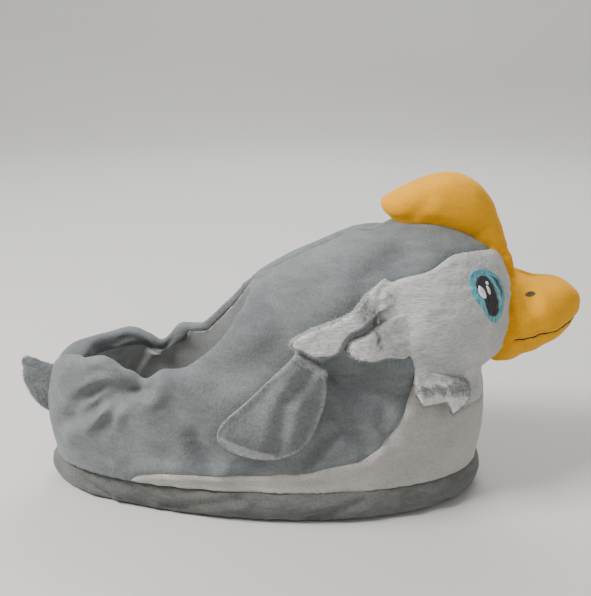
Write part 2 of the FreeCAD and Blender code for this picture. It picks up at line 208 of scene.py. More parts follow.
def gathered(meshes):
    """One bmesh that holds a copy of each mesh."""
    bm = bmesh.new()
    for mesh in meshes:
        bm.from_mesh(mesh)
    return bm


def write_back(bm, obj):
    """Makes the bmesh the mesh of obj, and frees it."""
    bm.to_mesh(obj.data)
    bm.free()
    return obj


def object_from(name, bm):
    """A new object made of the bmesh, which is freed."""
    return write_back(bm, link(name, bpy.data.meshes.new(name)))


def tree_from(meshes):
    """A search tree over the surfaces of several meshes."""
    bm = gathered(meshes)
    tree = BVHTree.FromBMesh(bm)
    bm.free()
    return tree


def union_of(name, nodes, voxel):
    """One closed mesh round several CAD nodes."""
    obj = object_from(name, gathered(NODES[node].data for node in nodes))
    remesh(obj, voxel)
    return keep_largest(obj)


def remesh(obj, voxel):
    step = obj.modifiers.new("voxels", "REMESH")
    step.mode = "VOXEL"
    step.voxel_size = voxel
    return bake_modifiers(obj)


def subdivide(obj, levels=1):
    step = obj.modifiers.new("finer", "SUBSURF")
    step.levels = levels
    step.render_levels = levels
    return bake_modifiers(obj)


def keep_largest(obj):
    """Removes the small shells that a remesh leaves inside."""
    pairs = edges(obj)
    label = np.arange(len(obj.data.vertices))
    while True:
        low = np.minimum(label[pairs[:, 0]], label[pairs[:, 1]])
        before = label.copy()
        np.minimum.at(label, pairs[:, 0], low)
        np.minimum.at(label, pairs[:, 1], low)
        label = label[label]
        if (label == before).all():
            break
    values, counts = np.unique(label, return_counts=True)
    keep = values[counts.argmax()]
    bm = gathered([obj.data])
    bm.verts.ensure_lookup_table()
    bmesh.ops.delete(bm, geom=[bm.verts[i] for i in np.nonzero(label != keep)[0]], context="VERTS")
    return write_back(bm, obj)


def relax(obj, rounds, strength=0.5, hold=None, keep_volume=True):
    """Smooths a mesh. hold is a 0 to 1 share per vertex that stays where it is."""
    co = coords(obj)
    pairs = edges(obj)
    count = np.zeros(len(co))
    np.add.at(count, pairs[:, 0], 1)
    np.add.at(count, pairs[:, 1], 1)
    free = np.ones(len(co)) if hold is None else 1 - hold
    for turn in range(rounds * (2 if keep_volume else 1)):
        total = np.zeros_like(co)
        np.add.at(total, pairs[:, 0], co[pairs[:, 1]])
        np.add.at(total, pairs[:, 1], co[pairs[:, 0]])
        step = total / count[:, None] - co
        gain = strength if turn % 2 == 0 or not keep_volume else -strength * 1.04
        co += step * gain * free[:, None]
    set_coords(obj, co)
    return obj


def tree_of(names):
    """A search tree over the surfaces of several CAD nodes."""
    return tree_from(NODES[name].data for name in names)


def distances(tree, co):
    return np.array([tree.find_nearest(Vector(p))[3] for p in co])


def inflate(obj, pressure, cap, hold=None, frames=20, stiffness=12.0):
    """Blows the skin out with Blender's cloth, moving no point by more than cap."""
    rest = coords(obj)
    cloth = obj.modifiers.new("cloth", "CLOTH")
    settings = cloth.settings
    settings.quality = 4
    settings.use_pressure = True
    settings.uniform_pressure_force = pressure
    settings.tension_stiffness = stiffness
    settings.compression_stiffness = stiffness
    settings.bending_stiffness = 0.3
    settings.effector_weights.gravity = 0
    cloth.collision_settings.use_collision = False
    if hold is not None:
        group = obj.vertex_groups.new(name="held")
        levels = np.round(hold, 1)
        for level in np.unique(levels[levels > 0]):
            group.add(np.nonzero(levels == level)[0].tolist(), float(level), "REPLACE")
        settings.vertex_group_mass = "held"
    scene = bpy.context.scene
    cloth.point_cache.frame_start, cloth.point_cache.frame_end = 1, frames
    for turn in range(1, frames + 1):
        scene.frame_set(turn)
    bake_modifiers(obj)
    obj.vertex_groups.clear()
    moved = coords(obj) - rest
    far = np.linalg.norm(moved, axis=1)
    moved *= np.minimum(1, cap / np.maximum(far, 1e-9))[:, None]
    set_coords(obj, rest + moved)
    scene.frame_set(1)
    return obj


def sink(obj, tree, reach, depth):
    """Draws the rim of a piece into the surface it is sewn to, so no gap shows."""
    co = coords(obj)
    for i, p in enumerate(co):
        place, facing, _, gap = tree.find_nearest(Vector(p))
        if gap < reach and facing.dot(Vector(p) - place) >= 0:
            pull = 1 - smoothstep(reach * 0.45, reach, gap)
            way = (np.array(place) - p) / max(gap, 1e-6)
            co[i] = p + way * (gap + depth) * pull
    set_coords(obj, co)
    return obj


def smooth_shading(obj):
    obj.data.polygons.foreach_set("use_smooth", [True] * len(obj.data.polygons))
    return obj


def cut_along(obj, field):
    """Adds an edge wherever the field crosses zero."""
    bm = gathered([obj.data])
    layer = bm.verts.layers.float.new("field")
    bm.verts.ensure_lookup_table()
    for vert, value in zip(bm.verts, field):
        vert[layer] = value if abs(value) > 2e-5 else 0.0
    fresh = [v for v in bm.verts if v[layer] == 0.0]
    for edge in list(bm.edges):
        a, b = edge.verts
        fa, fb = a[layer], b[layer]
        if fa * fb < 0:
            made = bmesh.utils.edge_split(edge, a, fa / (fa - fb))[1]
            made[layer] = 0.0
            fresh.append(made)
    bmesh.ops.connect_verts(bm, verts=fresh)
    bm.verts.layers.float.remove(layer)
    write_back(bm, obj)


def face_means(obj, field):
    """The field's mean over each face's corners."""
    loops = read(obj.data.loops, "vertex_index", kind=np.int32)
    starts = read(obj.data.polygons, "loop_start", kind=np.int32)
    counts = read(obj.data.polygons, "loop_total", kind=np.int32)
    return np.add.reduceat(field[loops], starts) / counts


def part_of(obj, name, chosen):
    """A new piece made of the chosen faces of obj."""
    bm = gathered([obj.data])
    bm.faces.ensure_lookup_table()
    bmesh.ops.delete(bm, geom=[bm.faces[i] for i in np.nonzero(~chosen)[0]], context="FACES")
    return object_from(name, bm)


def values_of(obj, name):
    return read(obj.data.attributes[name].data, "value").astype(float)


def keep_values(obj, name, values):
    layer = obj.data.attributes.get(name) or obj.data.attributes.new(name, "FLOAT", "POINT")
    layer.data.foreach_set("value", values.astype(np.float32))


def thicken(obj, thickness):
    """Closes an open panel into a thin shell, inwards from its outside."""
    step = obj.modifiers.new("cloth_thickness", "SOLIDIFY")
    step.thickness = thickness
    step.offset = -1
    return bake_modifiers(obj)


SIDES = (("right", -1), ("left", 1))    # the bird's own sides, and the sign of Y there


def grid_faces(rows, columns, closed_rows=False, closed_columns=False):
    """Quads between the points of a grid numbered row by row."""
    faces = []
    for i in range(rows if closed_rows else rows - 1):
        for j in range(columns if closed_columns else columns - 1):
            a, b = i * columns + j, i * columns + (j + 1) % columns
            c, d = ((i + 1) % rows) * columns + (j + 1) % columns, ((i + 1) % rows) * columns + j
            faces.append((a, b, c, d))
    return faces


def evenly(points, count):
    """The same curve with count points at even spacing."""
    line = rounded(points, steps=12)
    along = np.concatenate([[0], np.cumsum(np.linalg.norm(np.diff(line, axis=0), axis=1))])
    want = np.linspace(0, along[-1], count)
    return np.stack([np.interp(want, along, line[:, k]) for k in range(line.shape[1])], axis=1)


def hit(tree, start, direction):
    """Where a ray first meets the surface, or None."""
    return tree.ray_cast(Vector(start), Vector(direction))[0]


def surface_of(obj):
    return tree_from([obj.data])


def tube(name, path, radii, around=8):
    """A closed round strand along a path."""
    path = np.array(path, float)
    ahead = np.gradient(path, axis=0)
    ahead /= np.linalg.norm(ahead, axis=1)[:, None]
    side = np.cross(ahead, (0.13, 0.21, 0.97))
    side /= np.linalg.norm(side, axis=1)[:, None]
    up = np.cross(side, ahead)
    turn = np.arange(around) / around * 2 * math.pi
    ring = (side[:, None] * np.cos(turn)[None, :, None] + up[:, None] * np.sin(turn)[None, :, None])
    verts = (path[:, None] + ring * np.array(radii)[:, None, None]).reshape(-1, 3)
    faces = grid_faces(len(path), around, closed_columns=True)
    faces.append(tuple(range(around))[::-1])
    faces.append(tuple((len(path) - 1) * around + k for k in range(around)))
    return link(name, mesh_from(name, verts, faces))


def join(name, objs):
    """Several meshes as one."""
    made = object_from(name, gathered(obj.data for obj in objs))
    for obj in objs:
        bpy.data.objects.remove(obj)
    return made


def random_points(obj, count, weight, seed):
    """Points spread over a mesh by area times weight, with the surface's normal at each."""
    rng = np.random.default_rng(seed)
    obj.data.calc_loop_triangles()
    tris = read(obj.data.loop_triangles, "vertices", 3, np.int32)
    co, out = coords(obj), normals(obj)
    a, b, c = co[tris[:, 0]], co[tris[:, 1]], co[tris[:, 2]]
    area = np.linalg.norm(np.cross(b - a, c - a), axis=1) * weight[tris].mean(axis=1)
    pick = np.searchsorted(np.cumsum(area) / area.sum(), rng.random(count))
    u, v = rng.random(count), rng.random(count)
    over = u + v > 1
    u[over], v[over] = 1 - u[over], 1 - v[over]
    points = a[pick] + (b - a)[pick] * u[:, None] + (c - a)[pick] * v[:, None]
    facing = out[tris[pick]].mean(axis=1)
    return points, facing / np.maximum(np.linalg.norm(facing, axis=1), 1e-9)[:, None], rng


def add_pile(obj, count, length, width, comb, lift, weight, seed):
    """Adds fine closed spikes of fibre to a mesh. They lean along comb and stand up by lift."""
    roots, facing, rng = random_points(obj, count, weight, seed)
    comb = np.broadcast_to(np.array(comb, float), roots.shape)
    flat = comb - facing * (comb * facing).sum(axis=1)[:, None]
    lean = flat + facing * lift + rng.normal(0, 0.22, roots.shape)
    lean /= np.linalg.norm(lean, axis=1)[:, None]
    reach = length * (0.55 + 0.75 * rng.random(len(roots)))
    side = np.cross(lean, facing + 1e-6)
    side /= np.maximum(np.linalg.norm(side, axis=1), 1e-9)[:, None]
    other = np.cross(lean, side)
    base = roots - facing * 0.3 * MM
    corners = [base + width * side, base + width * (-0.5 * side + 0.87 * other),
               base + width * (-0.5 * side - 0.87 * other), base + lean * reach[:, None]]
    verts = np.stack(corners, axis=1).reshape(-1, 3)
    first = np.arange(len(roots))[:, None] * 4
    faces = np.concatenate([first + np.array(f) for f in ((0, 1, 2), (1, 0, 3), (2, 1, 3), (0, 2, 3))])
    fibres = link("fibres", mesh_from("fibres", verts, faces))
    write_back(gathered([obj.data, fibres.data]), obj)
    bpy.data.objects.remove(fibres)
    return obj


# ---- materials ----
class Nodes:
    """A material and short calls that add nodes to it."""

    def __init__(self, name):
        self.material = bpy.data.materials.new(name)
        self.material.use_nodes = True
        self.tree = self.material.node_tree
        self.tree.nodes.clear()
        self.shader = self.tree.nodes.new("ShaderNodeBsdfPrincipled")
        out = self.tree.nodes.new("ShaderNodeOutputMaterial")
        self.tree.links.new(self.shader.outputs[0], out.inputs[0])
        self.place = self.tree.nodes.new("ShaderNodeTexCoord").outputs["Object"]

    def link(self, source, target):
        if isinstance(source, bpy.types.NodeSocket):
            self.tree.links.new(source, target)
        else:
            target.default_value = source

    def add(self, kind, **values):
        """Adds a node, and gives the inputs named here a value or a link."""
        node = self.tree.nodes.new("ShaderNode" + kind)
        for name, value in values.items():
            self.link(value, node.inputs[name])
        return node

    def stretched(self, scale, turn=(0, 0, 0)):
        return self.add("Mapping", Rotation=turn, Scale=scale, Vector=self.place).outputs[0]

    def noise(self, scale, detail=2.0, rough=0.5, vector=None, twist=0.0):
        return self.add("TexNoise", Scale=scale, Detail=detail, Roughness=rough, Distortion=twist,
                        Vector=vector or self.place).outputs[0]

    def math(self, kind, a, b=0.0, c=0.0):
        node = self.add("Math")
        node.operation = kind
        for source, socket in zip((a, b, c), node.inputs):
            self.link(source, socket)
        return node.outputs[0]

    def spread(self, value, low, high, to_low=0.0, to_high=1.0):
        node = self.add("MapRange")
        node.interpolation_type = "SMOOTHSTEP"
        for source, socket in zip((value, low, high, to_low, to_high), node.inputs):
            self.link(source, socket)
        return node.outputs[0]

    def mix(self, share, a, b, kind="MIX"):
        node = self.add("Mix", Factor=share)
        node.data_type = "RGBA"
        node.blend_type = kind
        self.link((*a, 1) if isinstance(a, tuple) else a, node.inputs[6])
        self.link((*b, 1) if isinstance(b, tuple) else b, node.inputs[7])
        return node.outputs[2]

    def bump(self, height, distance, strength=1.0, under=None):
        node = self.add("Bump", Strength=strength, Distance=distance, Height=height)
        if under is not None:
            self.link(under, node.inputs["Normal"])
        return node.outputs[0]

    def attribute(self, name):
        node = self.add("Attribute")
        node.attribute_name = name
        return node.outputs["Fac"]

    def finish(self, colour, rough, normal=None, fixed=None):
        """Joins up the shader. fixed holds the sockets that have one plain value."""
        self.link(colour, self.shader.inputs["Base Color"])
        self.link(rough, self.shader.inputs["Roughness"])
        if normal is not None:
            self.tree.links.new(normal, self.shader.inputs["Normal"])
        for name, value in (fixed or {}).items():
            self.shader.inputs[name].default_value = value
        return self.material


def plush(name, light, dark, nap=1.0, pile=900.0, streak=None, depth=0.35, turn=(0, 0, 0),
          patch=22.0, pale=None):
    """Short-pile plush: a soft nap that lies lighter or darker where it was brushed, over a fine pile."""
    n = Nodes(name)
    brushed = n.noise(patch, 2, 0.45, twist=0.8)
    smear = n.noise(patch * 4, 3, 0.6, n.stretched((1.0, 1.0, 3.0), (0, 0.5, 0)), twist=0.4)
    mottle = n.math("ADD", n.math("MULTIPLY", brushed, 0.6), n.math("MULTIPLY", smear, 0.4))
    tone = n.spread(mottle, 0.5 - 0.2 / nap, 0.5 + 0.2 / nap)
    colour = n.mix(tone, dark, light)
    if pale:
        colour = n.mix(n.math("MULTIPLY", n.attribute("pale"), 0.85), colour, pale)
    hairs = n.noise(pile, 2, 0.6, n.stretched(streak, turn) if streak else None)
    shade = n.spread(hairs, 0.3, 0.7, 0.8, 1.1)
    colour = n.mix(1.0, colour, n.mix(shade, (0, 0, 0), (1, 1, 1)), "MULTIPLY")
    rough = n.spread(hairs, 0.3, 0.7, 0.82, 0.95)
    normal = n.bump(hairs, depth * MM, 0.9)
    normal = n.bump(mottle, 1.0 * MM, 0.35, normal)
    sheen = tuple(min(1, c * 1.6 + 0.25) for c in light)
    return n.finish(colour, rough, normal, {"Sheen Weight": 0.25, "Sheen Roughness": 0.45,
                                            "Sheen Tint": (*sheen, 1), "Specular IOR Level": 0.15})


def embroidery(name, light, dark, turn, pitch=1700.0):
    """Satin stitch: fine parallel threads with a soft shine."""
    n = Nodes(name)
    threads = n.noise(pitch, 1, 0.4, n.stretched((1.0, 1.0, 0.07), turn))
    colour = n.mix(n.spread(threads, 0.35, 0.65), dark, light)
    rough = n.spread(threads, 0.3, 0.7, 0.62, 0.42)
    return n.finish(colour, rough, n.bump(threads, 0.3 * MM, 0.8),
                    {"Sheen Weight": 0.1, "Specular IOR Level": 0.4})


def sole_cloth():
    """Dark woven cloth under the slipper, with paler rubber dots where it meets the floor."""
    n = Nodes("sole_cloth")
    weave = n.math("MULTIPLY", n.noise(900, 1, 0.4, n.stretched((1.0, 0.12, 1.0))),
                   n.noise(900, 1, 0.4, n.stretched((0.12, 1.0, 1.0))))
    height = n.add("SeparateXYZ", Vector=n.place).outputs["Z"]
    dot = n.spread(height, 0.55 * MM, 0.75 * MM, 1.0, 0.0)
    cloth = n.mix(n.spread(weave, 0.15, 0.35), (0.012, 0.014, 0.02), (0.04, 0.045, 0.058))
    colour = n.mix(dot, cloth, (0.16, 0.165, 0.17))
    rough = n.spread(dot, 0, 1, 0.85, 0.5)
    return n.finish(colour, rough, n.bump(weave, 0.25 * MM, 0.8), {"Specular IOR Level": 0.3})


def make_materials():
    grain = (0.3, 1.0, 1.0)         # stretches the pile into short streaks
    face_light, face_dark = (0.56, 0.563, 0.542), (0.44, 0.443, 0.427)
    lying, coarse = (0, 1.5, 0), 1200.0        # turn and pitch of the dark stitches
    return {
        "body": plush("grey_plush", (0.205, 0.222, 0.224), (0.135, 0.148, 0.151), nap=1.1, pile=800,
                      depth=0.45),
        "wing": plush("wing_plush", (0.20, 0.217, 0.219), (0.15, 0.163, 0.165), nap=1.1, patch=40,
                      pile=650, depth=0.6, pale=(0.36, 0.372, 0.365)),
        "band": plush("band_plush", (0.16, 0.163, 0.153), (0.092, 0.097, 0.094), nap=1.1, pile=650,
                      depth=0.5),
        "belly": plush("white_plush", (0.50, 0.484, 0.452), (0.37, 0.357, 0.332), nap=0.6),
        "face": plush("face_plush", face_light, face_dark, nap=0.8, pile=850, streak=grain, depth=0.8,
                      turn=(0, 0.7, 0), patch=50),
        "tuft": plush("tuft_plush", face_light, face_dark, nap=0.8, pile=700, streak=grain, depth=0.8,
                      turn=(0, -0.4, 0), patch=60, pale=(0.72, 0.725, 0.71)),
        "beak": plush("yellow_plush", (0.92, 0.43, 0.008), (0.74, 0.315, 0.004), nap=0.6, pile=1500,
                      depth=0.12),
        "lining": plush("lining_cloth", (0.40, 0.41, 0.40), (0.30, 0.31, 0.303), nap=0.7, pile=1200,
                        depth=0.2),
        "insole": plush("insole_fleece", (0.42, 0.425, 0.41), (0.33, 0.335, 0.325), nap=0.9, pile=700,
                        depth=0.4),
        "teal": embroidery("teal_thread", (0.14, 0.43, 0.49), (0.05, 0.22, 0.27), (0, 0.3, 0)),
        "dark_teal": embroidery("dark_teal_thread", (0.025, 0.12, 0.14), (0.01, 0.05, 0.065), (0, -0.3, 0)),
        "pale": embroidery("pale_thread", (0.5, 0.53, 0.54), (0.3, 0.33, 0.34), (0, -0.2, 0)),
        "black": embroidery("black_thread", (0.02, 0.02, 0.026), (0.005, 0.005, 0.008), lying),
        "white": embroidery("white_thread", (0.85, 0.87, 0.88), (0.6, 0.62, 0.64), (0, 0.1, 0)),
        "stitch": embroidery("dark_stitch", (0.03, 0.026, 0.018), (0.008, 0.007, 0.005), lying, coarse),
        "nostril": embroidery("olive_stitch", (0.11, 0.085, 0.03), (0.05, 0.038, 0.012), lying, coarse),
        "sole": sole_cloth(),
    }


MATERIALS = make_materials()


def dress(obj, material, slot, *nodes, body="slipper"):
    """Gives a finished piece its material and smooth shading, hides the CAD nodes it stands for, and parents
    it to its body when one is given. slot is not used.
    """
    obj.data.materials.clear()
    obj.data.materials.append(MATERIALS[material])
    smooth_shading(obj)
    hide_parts(*nodes)
    if body:
        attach(obj, body)
    return obj


# ---- the stuffed body ----
BODY_VOXEL = 3 * MM
SKIN = ("side_panel", "heel_panel", "chest_panel", "belly_strip", "face_panel", "crown_panel",
        "collar_binding")
FILLING = ("heel_padding", "wall_padding", "toe_padding", "head_stuffing", "heel_lining",
           "vamp_lining", "insole_")
FOOT_SPACE = ("heel_lining", "vamp_lining", "insole_cover")
BODY_FLOOR = 21.5 * MM


def seam_lines(co):
    """The seams as signed distances: face, belly, heel, and the middle of the back."""
    return {"face": seam_field(co, FACE_SEAM, FACE_REST), "belly": seam_field(co, BELLY_SEAM, BELLY_REST),
            "heel": seam_field(co, HEEL_SEAM, HEEL_REST), "middle": co[:, 1].copy()}


def near(field, width):
    """1 where the field is zero, falling off smoothly over the width."""
    return np.exp(-(field / width) ** 2)


def crease(co, folds, side=(1.2, 4.0), bend=0.0):
    """How far soft creases drawn in side view move the skin, less than 0 for inwards.

    They fade in between the two distances in side from the middle plane. bend bows their lines.
    Everything is in millimetres but co, which is in metres.
    """
    shift = np.zeros(len(co))
    flat = co[:, [0, 2]] / MM
    shown = smoothstep(*side, np.abs(co[:, 1]) / MM)
    for ax, az, bx, bz, depth, width in folds:
        line = np.array([(ax, az), (bx, bz)], float)
        if bend:
            middle = ((ax + bx) / 2 + (bz - az) * bend, (az + bz) / 2 - (bx - ax) * bend)
            line = rounded([(ax, az), middle, (bx, bz)])
        away = distance_to_line(flat, line)
        shift += depth * (0.4 * near(away - 2 * width, width) - near(away, width)) * shown
    return shift


def push(obj, shift):
    """Moves each point of a mesh along its normal by its own shift in millimetres."""
    set_coords(obj, coords(obj) + normals(obj) * (shift * MM)[:, None])


def body_form():
    """The whole stuffed outside and the foot space, as one mesh that carries its seams as values."""
    body = union_of("body", pieces_of(*SKIN, *FILLING), BODY_VOXEL)
    co = coords(body)
    to_skin, to_lining = (distances(tree_of(pieces_of(*names)), co) for names in (SKIN, FOOT_SPACE))
    lined = to_skin - to_lining - 4 * MM
    keep_values(body, "lined", lined)
    low = 1 - smoothstep(BODY_FLOOR - 1 * MM, BODY_FLOOR + 3 * MM, co[:, 2])
    relax(body, 7, hold=low)
    co = coords(body)
    fields = seam_lines(co)
    hold = np.maximum.reduce([near(fields["face"], 2.5 * MM),
                              near(fields["belly"], 2.5 * MM) * (fields["face"] < 0),
                              smoothstep(-6 * MM, 1 * MM, lined), low])
    push(body, -1.5 * (1 - hold))
    inflate(body, 3.0, 4 * MM, hold)
    for name, field in fields.items():
        keep_values(body, name, field)
    return body


# creases at the heel's rim, in side view: direction in degrees, length, depth and width in millimetres
HEEL_CREASES = ((188, 42, 3.8, 2.2), (203, 54, 4.8, 2.5), (217, 62, 4.2, 3.0), (232, 52, 3.2, 3.4),
                (170, 28, 3.0, 2.2))
RIM_LIFTS = ((-97, 7.0, 15.0), (-46, 3.0, 16.0))      # x, height and half length of the rim's soft humps


def fold_heel(co, outward):
    """The heel's rim dips where it meets the side wall, and folds run back from there.

    The bird's left side dips deeper and has no humps.
    """
    x, z = co[:, 0] / MM - HEEL_NOTCH[0], co[:, 2] / MM - HEEL_NOTCH[1]
    side = smoothstep(16, 32, np.abs(co[:, 1]) / MM)
    dip = near(x, 9) * smoothstep(-22, 2, z) * side
    far = smoothstep(-12, 12, co[:, 1] / MM)
    shift = np.zeros_like(co)
    shift[:, 2] -= (6.5 + 3.5 * far) * dip
    shift[:, 1] -= np.sign(co[:, 1]) * 4.0 * dip
    for place, height, length in RIM_LIFTS:
        hump = near(co[:, 0] / MM - place, length) * smoothstep(66, 92, co[:, 2] / MM)
        shift[:, 2] += height * (1 - far) * hump * smoothstep(6, 26, np.abs(co[:, 1]) / MM)
    back = near(co[:, 1], 9 * MM) * smoothstep(70, 90, co[:, 2] / MM) * (co[:, 0] < -105 * MM)
    shift[:, 2] -= 4.0 * back
    for degrees, length, depth, width in HEEL_CREASES:
        turn = math.radians(degrees)
        along = x * math.cos(turn) + z * math.sin(turn)
        off = -x * math.sin(turn) + z * math.cos(turn) + 1.5 * np.sin(along / 13)
        reach = smoothstep(-2, 9, along) * (1 - smoothstep(length * 0.45, length, along)) * side
        spread = width * (0.6 + 0.6 * np.clip(along / length, 0, 1))
        fold = 0.6 * near(np.abs(off) - 1.9 * spread, spread) - near(off, spread)
        shift += outward * (depth * fold * reach)[:, None]
    return shift * MM


def swell_face(body):
    """The face bulges forward round the base of the beak."""
    co = coords(body)
    x, z = co[:, 0] / MM, co[:, 2] / MM
    shift = smoothstep(112, 138, x) * smoothstep(82, 100, z) * (1 - smoothstep(156, 168, z))
    co[:, 0] += 5.5 * MM * shift
    set_coords(body, co)


def round_rim(body):
    """Softens the heel's rim into a roll."""
    co = coords(body)
    rim = smoothstep(72, 84, co[:, 2] / MM) * (1 - smoothstep(-62, -40, co[:, 0] / MM))
    relax(body, 7, hold=1 - rim, keep_volume=False)
    push(body, 1.6 * rim)


# soft folds in the side: from x, z to x, z, depth and width in millimetres
SIDE_FOLDS = ((-68, 84, -130, 47, 3.6, 5.0), (36, 92, 62, 50, 3.2, 4.5), (44, 98, 84, 78, 2.6, 5.0),
              (70, 72, 76, 54, 1.8, 3.4), (-58, 70, -34, 44, 3.4, 8.0), (-88, 56, -60, 40, 2.6, 7.0),
              (-24, 92, 14, 118, 2.0, 8.0), (40, 60, 26, 42, 2.8, 4.5), (58, 150, 84, 164, 2.0, 6.0),
              (0, 128, 40, 150, 1.8, 8.0), (-40, 56, -30, 40, 2.2, 4.5), (-118, 52, -96, 34, 1.8, 4.0))


def finish_body(body):
    """Folds, then seams drawn tight, puckers beside them and the uneven lie of the cloth."""
    round_rim(body)
    swell_face(body)
    outside = 1 - smoothstep(-3 * MM, 2 * MM, values_of(body, "lined"))
    co = coords(body)
    outward = normals(body)
    free = smoothstep(BODY_FLOOR, BODY_FLOOR + 8 * MM, co[:, 2])
    folds = outward * (crease(co, SIDE_FOLDS, (12, 30), 0.08) * outside * MM)[:, None]
    set_coords(body, co + (fold_heel(co, outward) + folds) * free[:, None])
    subdivide(body)
    co = coords(body)
    outside = 1 - smoothstep(-3 * MM, 2 * MM, values_of(body, "lined"))
    face, belly, middle = (values_of(body, n) for n in ("face", "belly", "middle"))
    back = smoothstep(0, 10 * MM, -face)
    seams = np.minimum.reduce([np.abs(face), np.where(face < 0, np.abs(belly), 1.0),
                               np.where(back > 0, np.abs(middle) + (1 - back) * 5 * MM, 1.0)])
    shift = -1.3 * near(seams, 1.7 * MM) + 0.45 * near(seams - 5.5 * MM, 3.5 * MM)
    shift += 0.55 * lumps(co, 7 * MM, 1) * near(seams, 9 * MM)
    shift += 0.9 * lumps(co, 34 * MM, 2) + 0.35 * lumps(co, 13 * MM, 3)
    shift += 0.5 * lumps(co, (9 * MM, 3 * MM, 3 * MM), 4) * smoothstep(0, 3 * MM, face)
    inner = 1.2 * lumps(co, (16 * MM, 16 * MM, 60 * MM), 5)
    total = np.where(outside > 0.5, shift, inner * (1 - near(values_of(body, "lined"), 4 * MM)))
    free = smoothstep(BODY_FLOOR, BODY_FLOOR + 5 * MM, co[:, 2])
    push(body, total * free)
    return body


def split_body(body):
    """Cuts the body along its seams into the panels."""
    names = ("lined", "face", "belly", "middle")
    for name in names:
        cut_along(body, values_of(body, name))
    lined, face, belly, middle = (face_means(body, values_of(body, name)) for name in names)
    heights = face_means(body, coords(body)[:, 2])
    under = heights < BODY_FLOOR - 0.8 * MM
    right = middle < 0
    inside = lined > 0
    outside = ~inside & ~under
    footbed = inside & (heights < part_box("insole_cover")[1][2] + 2 * MM)
    panels = (
        ("foot_lining", inside & ~footbed, "lining", "lining",
         pieces_of("heel_lining", "vamp_lining", "heel_padding", "wall_padding", "toe_padding",
                   "collar_elastic")),
        ("insole", footbed, "insole", "insole_cover", pieces_of("insole_cover", "insole_foam")),
        ("face_right", outside & (face > 0) & right, "face", "face_plush",
         ["face_panel_right", "head_stuffing"]),
        ("face_left", outside & (face > 0) & ~right, "face", "face_plush", ["face_panel_left"]),
        ("belly_and_chest", outside & (face <= 0) & (belly > 0), "belly", "belly_plush",
         pieces_of("belly_strip", "chest_panel")),
        ("side_right", outside & (face <= 0) & (belly <= 0) & right, "body", "body_plush",
         ["side_panel_right", "crown_panel_right", "heel_panel", "collar_binding"]),
        ("side_left", outside & (face <= 0) & (belly <= 0) & ~right, "body", "body_plush",
         ["side_panel_left", "crown_panel_left"]),
    )
    made = []
    for name, chosen, material, slot, nodes in panels:
        piece = part_of(body, name, chosen)
        thicken(piece, 1.2 * MM)
        made.append(dress(piece, material, slot, *nodes))
    bpy.data.objects.remove(body)
    return made


def make_body():
    body = finish_body(body_form())
    tree = surface_of(body)
    panels = split_body(body)
    return tree


# ---- the sole ----
SOLE_TAPER = 0.33               # how much narrower the heel is than the toe
# inset from the sole's edge and height, millimetres
BAND_PROFILE = ((5.2, 1.4), (3.0, 2.6), (1.4, 5.5), (0.2, 10.5), (0.9, 15.5), (2.6, 19.6), (6.5, 22.5),
                (13.0, 21.0), (14.0, 11.0), (12.0, 2.2))
BAND_FOLDS = ((-132, 18, -98, 4, 2.2, 2.6), (-60, 4, -14, 16, 1.4, 3.0), (28, 4, 60, 15, 1.6, 3.0),
              (88, 16, 112, 4, 1.2, 3.0), (-84, 16, -60, 5, 1.0, 3.0))
BAND_COLUMNS = 520              # points round the band


def sole_outline(inset, count):
    """Points round the sole, inset from its edge."""
    low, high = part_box("sole_band")
    half_length, half_width = (high[0] - low[0]) / 2, (high[1] - low[1]) / 2
    turn = np.arange(count) / count * 2 * math.pi
    x, y = np.cos(turn), np.sin(turn) * (1 + SOLE_TAPER * (np.cos(turn) - 1) / 2)
    y /= y.max()
    return np.stack([x * (half_length - inset), y * (half_width - inset)], axis=1)


def make_band():
    """The plush strip gathered round the edge of the sole."""
    profile = rounded(BAND_PROFILE, closed=True, steps=3) * MM
    rings = [np.column_stack([sole_outline(inset, BAND_COLUMNS), np.full(BAND_COLUMNS, height)])
             for inset, height in profile]
    faces = grid_faces(len(rings), BAND_COLUMNS, closed_rows=True, closed_columns=True)
    band = link("sole_band_cloth", mesh_from("sole_band_cloth", np.vstack(rings), faces))
    co = coords(band)
    height = co[:, 2] / MM
    free = smoothstep(1.0, 4.0, height) * (1 - smoothstep(17.0, 20.0, height))
    gathers = 0.35 * lumps(co, (3.4 * MM, 3.4 * MM, 30 * MM), 11) * (1 - free * 0.7)
    waves = 0.8 * lumps(co, (26 * MM, 26 * MM, 14 * MM), 12)
    waves += 0.5 * lumps(co, (11 * MM, 11 * MM, 16 * MM), 13)
    folds = crease(co, BAND_FOLDS)
    push(band, (gathers + (waves + folds) * free) * smoothstep(0.5, 2.0, height))
    dress(band, "band", "band_plush", "sole_band", "midsole_foam", "insole_board")
    for slot in NODES["outsole"].material_slots:
        slot.material = MATERIALS["sole"]


# ---- beak and crest ----
MOUTH = ((130, 104), (152, 106), (168, 109.3), (182, 111.5), (200, 116))
BEAK_FOLDS = ((150, 141, 158, 128, 1.5, 4.5), (158, 128, 168, 108, 1.2, 5.0), (151, 118, 160, 92, 0.8, 4.0),
              (176, 134, 186, 116, 0.6, 6.0))
CREST_FOLDS = ((138, 152, 152, 157, 0.4, 2.2), (140, 146, 157, 147, 0.3, 4.0), (126, 168, 138, 176, 0.5, 4.0),
               (88, 178, 96, 190, 0.5, 4.0))
CREST_BASE = 146.0              # height where the crest runs into the beak, millimetres
MOUTH_MIDDLE = 151.5 * MM       # x from which the mouth's stitches are laid out round the beak
STITCH = 3.6 * MM               # length of one stitch of the mouth
THREAD_RADIUS = 0.5 * MM


